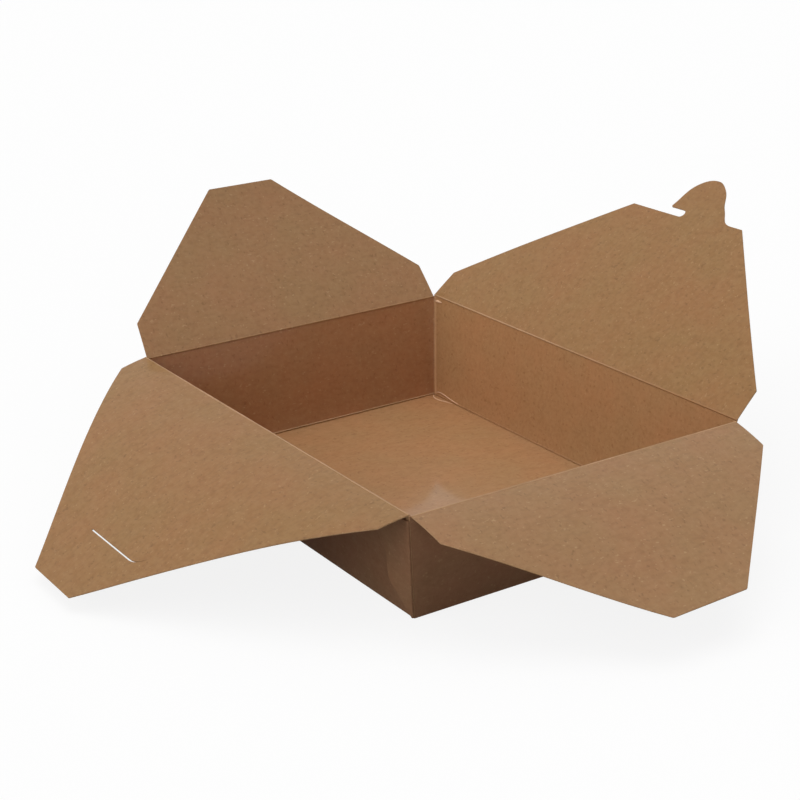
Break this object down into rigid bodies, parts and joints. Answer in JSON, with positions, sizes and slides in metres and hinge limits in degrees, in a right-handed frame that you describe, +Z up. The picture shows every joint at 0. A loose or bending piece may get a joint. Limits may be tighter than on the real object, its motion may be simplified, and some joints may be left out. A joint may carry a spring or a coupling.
{
  "type": "takeaway box",
  "caption": "Open folding takeaway box of kraft paperboard: a flared tray with folded web corners and hinged lid flaps that close with a hooked tab and a slit.",
  "frame": {"origin": "centre of the tray's flat underside", "axes": "+Z up, +Y along the long walls towards the back end flap, +X across the box towards the tab flap"},
  "size_m": [0.3386, 0.3384, 0.1133],
  "materials": {
    "tray_board": "uncoated kraft board outside, thin glossy food film inside",
    "flap_board": "uncoated kraft board with a thin satin food film on the inner face"
  },
  "bodies": {
    "tray": {"tray": "tray_board"},
    "back_end_flap": {"back_end_flap": "flap_board"},
    "front_end_flap": {"front_end_flap": "flap_board"},
    "slit_flap": {"slit_flap": "flap_board"},
    "tab_flap": {"tab_flap": "flap_board"}
  },
  "joints": [
    {"name": "back_end_crease", "type": "hinge", "parent": "tray", "child": "back_end_flap", "pos_m": [0, 0.10782, 0.0473], "axis": [1, 0, 0], "range_deg": [-85.6, 130.7]},
    {"name": "front_end_crease", "type": "hinge", "parent": "tray", "child": "front_end_flap", "pos_m": [0, -0.10782, 0.0473], "axis": [-1, 0, 0], "range_deg": [-14.7, 201.6]},
    {"name": "slit_flap_crease", "type": "hinge", "parent": "tray", "child": "slit_flap", "pos_m": [-0.07898, 0, 0.048], "axis": [0, 1, 0], "range_deg": [-2.5, 204.2]},
    {"name": "tab_flap_crease", "type": "hinge", "parent": "tray", "child": "tab_flap", "pos_m": [0.07898, 0, 0.048], "axis": [0, -1, 0], "range_deg": [-62.5, 141.9]}
  ]
}
